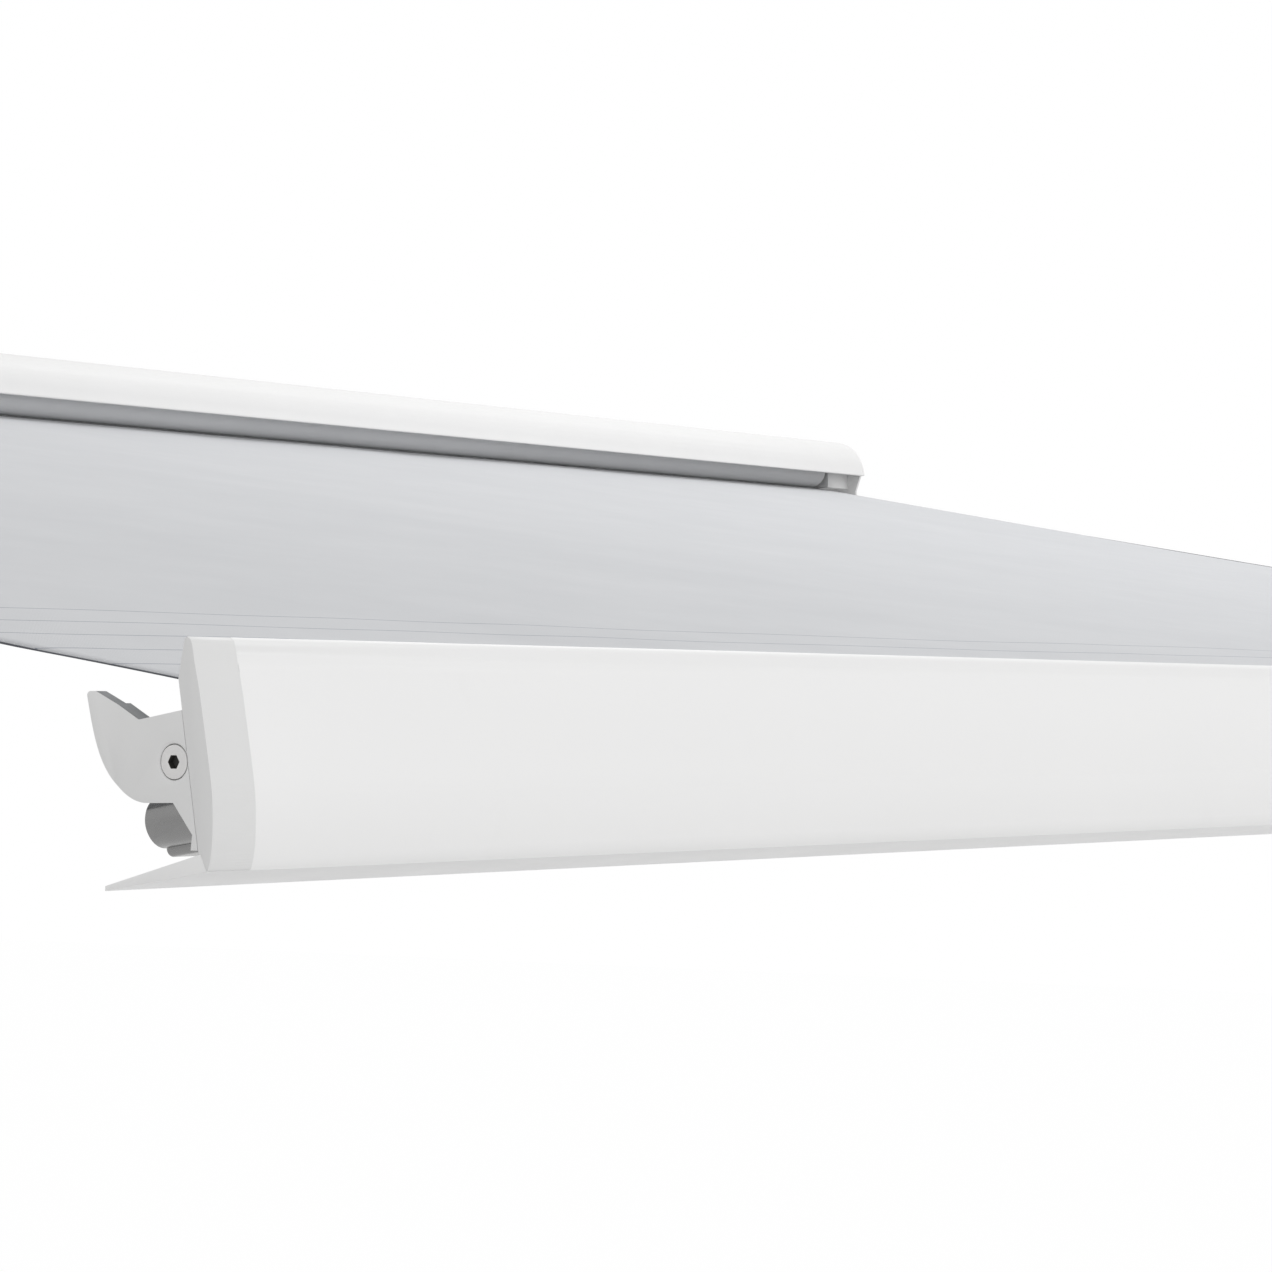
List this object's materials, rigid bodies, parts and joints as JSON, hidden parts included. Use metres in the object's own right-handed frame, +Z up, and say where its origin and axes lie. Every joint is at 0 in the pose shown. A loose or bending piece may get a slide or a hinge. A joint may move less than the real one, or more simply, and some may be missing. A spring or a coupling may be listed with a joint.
{
  "type": "roll out awning",
  "caption": "Cassette awning for a caravan or camper, rolled out, with folding arms, a curved lead rail and stowed support legs.",
  "frame": {"origin": "centre of the back face of the middle wall bracket, on the wall", "axes": "+X along the awning to its right end seen from outside, +Y into the wall, +Z up"},
  "size_m": [4.5, 2.5005, 0.6271],
  "materials": {
    "white_profile": "white powder coat",
    "grey_casting": "pale painted casting",
    "bracket_metal": "satin",
    "zinc_steel": "zinc plated",
    "arm_paint": "white powder coat",
    "bare_aluminium": "drawn, satin",
    "cloth": "coated canopy cloth",
    "dark_plastic": "matt"
  },
  "bodies": {
    "cassette": {"back_profile": "white_profile", "bottom_shelf": "white_profile", "top_cover": "white_profile", "cassette_end_cap_left": "grey_casting", "cassette_end_cap_right": "grey_casting", "wall_brackets": "bracket_metal", "mounting_bolts": "zinc_steel", "shoulder_bracket_left": "bracket_metal", "shoulder_bracket_right": "bracket_metal", "shoulder_pins": "zinc_steel", "roller_bush": "dark_plastic", "gear_case": "grey_casting", "end_cap_screws": "zinc_steel", "catch_pegs": "zinc_steel", "canopy": "cloth"},
    "roller": {"roller_tube": "bare_aluminium", "roller_plug_left": "dark_plastic", "roller_plug_right": "dark_plastic", "fabric_roll": "cloth", "worm_wheel": "zinc_steel"},
    "worm": {"worm_shaft": "zinc_steel"},
    "upper_arm_left": {"upper_arm_tube_left": "arm_paint", "shoulder_fitting_left": "arm_paint", "elbow_fork_left": "arm_paint", "elbow_pin_left": "zinc_steel", "arm_spring_left": "zinc_steel"},
    "forearm_left": {"forearm_tube_left": "arm_paint", "elbow_tongue_left": "arm_paint", "front_fitting_left": "arm_paint"},
    "upper_arm_right": {"upper_arm_tube_right": "arm_paint", "shoulder_fitting_right": "arm_paint", "elbow_fork_right": "arm_paint", "elbow_pin_right": "zinc_steel", "arm_spring_right": "zinc_steel"},
    "forearm_right": {"forearm_tube_right": "arm_paint", "elbow_tongue_right": "arm_paint", "front_fitting_right": "arm_paint"},
    "lead_rail": {"front_profile": "white_profile", "rail_end_cap_left": "grey_casting", "closing_hook_left": "grey_casting", "arm_mount_left": "bracket_metal", "leg_pivot_block_left": "bracket_metal", "rail_end_cap_right": "grey_casting", "closing_hook_right": "grey_casting", "arm_mount_right": "bracket_metal", "leg_pivot_block_right": "bracket_metal", "hook_screws": "zinc_steel", "front_pins": "zinc_steel", "canopy_keder": "dark_plastic", "leg_clips": "bracket_metal"},
    "leg_left": {"leg_barrel_left": "bare_aluminium", "leg_outer_tube_left": "bare_aluminium"},
    "leg_lever_left": {"leg_clamp_lever_left": "dark_plastic"},
    "leg_inner_left": {"leg_inner_tube_left": "bare_aluminium"},
    "foot_left": {"leg_foot_left": "dark_plastic"},
    "leg_right": {"leg_barrel_right": "bare_aluminium", "leg_outer_tube_right": "bare_aluminium"},
    "leg_lever_right": {"leg_clamp_lever_right": "dark_plastic"},
    "leg_inner_right": {"leg_inner_tube_right": "bare_aluminium"},
    "foot_right": {"leg_foot_right": "dark_plastic"}
  },
  "joints": [
    {"name": "awning_fold", "type": "hinge", "parent": "cassette", "child": "upper_arm_left", "pos_m": [-1.5, -0.04389, -0.00462], "axis": [0, 0.1702, -0.9854], "range_deg": [-61.01, 0]},
    {"name": "elbow_left", "type": "hinge", "parent": "upper_arm_left", "child": "forearm_left", "pos_m": [-0.85802, -1.24765, -0.21254], "axis": [0, -0.1702, 0.9854], "range_deg": [-122.02, 0]},
    {"name": "front_pivot_left", "type": "hinge", "parent": "forearm_left", "child": "lead_rail", "pos_m": [-1.5, -2.4514, -0.42047], "axis": [0, 0.1702, -0.9854], "range_deg": [-61.01, 0], "deforming": ["canopy"]},
    {"name": "shoulder_right", "type": "hinge", "parent": "cassette", "child": "upper_arm_right", "pos_m": [1.5, -0.04389, -0.00462], "axis": [0, -0.1702, 0.9854], "range_deg": [-61.01, 0]},
    {"name": "elbow_right", "type": "hinge", "parent": "upper_arm_right", "child": "forearm_right", "pos_m": [0.85802, -1.24765, -0.21254], "axis": [0, 0.1702, -0.9854], "range_deg": [-122.02, 0]},
    {"name": "roller_turn", "type": "hinge", "parent": "cassette", "child": "roller", "pos_m": [0, -0.073, 0.07146], "axis": [-1, 0, 0], "range_deg": [-3966.66, 0]},
    {"name": "crank_turn", "type": "hinge", "parent": "cassette", "child": "worm", "pos_m": [2.194, -0.0396, 0.07146], "axis": [0, 0, 1], "range_deg": [-19833.31, 0]},
    {"name": "leg_swing_left", "type": "hinge", "parent": "lead_rail", "child": "leg_left", "pos_m": [-2.1485, -2.4251, -0.45258], "axis": [0, 0.988, -0.1542], "range_deg": [0, 90]},
    {"name": "leg_slide_left", "type": "slide", "parent": "leg_left", "child": "leg_inner_left", "axis": [1, 0, 0], "range_m": [0, 1]},
    {"name": "foot_tilt_left", "type": "hinge", "parent": "leg_inner_left", "child": "foot_left", "pos_m": [-0.8175, -2.39289, -0.46672], "axis": [0, 0.988, -0.1542], "range_deg": [-15, 15]},
    {"name": "lever_swing_left", "type": "hinge", "parent": "leg_left", "child": "leg_lever_left", "pos_m": [-0.8835, -2.39574, -0.485], "axis": [0, -0.988, 0.1542], "range_deg": [0, 70]},
    {"name": "leg_swing_right", "type": "hinge", "parent": "lead_rail", "child": "leg_right", "pos_m": [2.1485, -2.4251, -0.45258], "axis": [0, -0.988, 0.1542], "range_deg": [0, 90]},
    {"name": "leg_slide_right", "type": "slide", "parent": "leg_right", "child": "leg_inner_right", "axis": [-1, 0, 0], "range_m": [0, 1]},
    {"name": "foot_tilt_right", "type": "hinge", "parent": "leg_inner_right", "child": "foot_right", "pos_m": [0.8175, -2.39289, -0.46672], "axis": [0, -0.988, 0.1542], "range_deg": [-15, 15]},
    {"name": "lever_swing_right", "type": "hinge", "parent": "leg_right", "child": "leg_lever_right", "pos_m": [0.8835, -2.39574, -0.485], "axis": [0, 0.988, -0.1542], "range_deg": [0, 70]}
  ],
  "couplings": [
    {"joint": "elbow_left", "follows": "awning_fold", "ratio": 2},
    {"joint": "front_pivot_left", "follows": "awning_fold", "ratio": 1},
    {"joint": "shoulder_right", "follows": "awning_fold", "ratio": 1},
    {"joint": "elbow_right", "follows": "awning_fold", "ratio": 2},
    {"joint": "roller_turn", "follows": "awning_fold", "ratio": 65},
    {"joint": "crank_turn", "follows": "awning_fold", "ratio": 325}
  ]
}
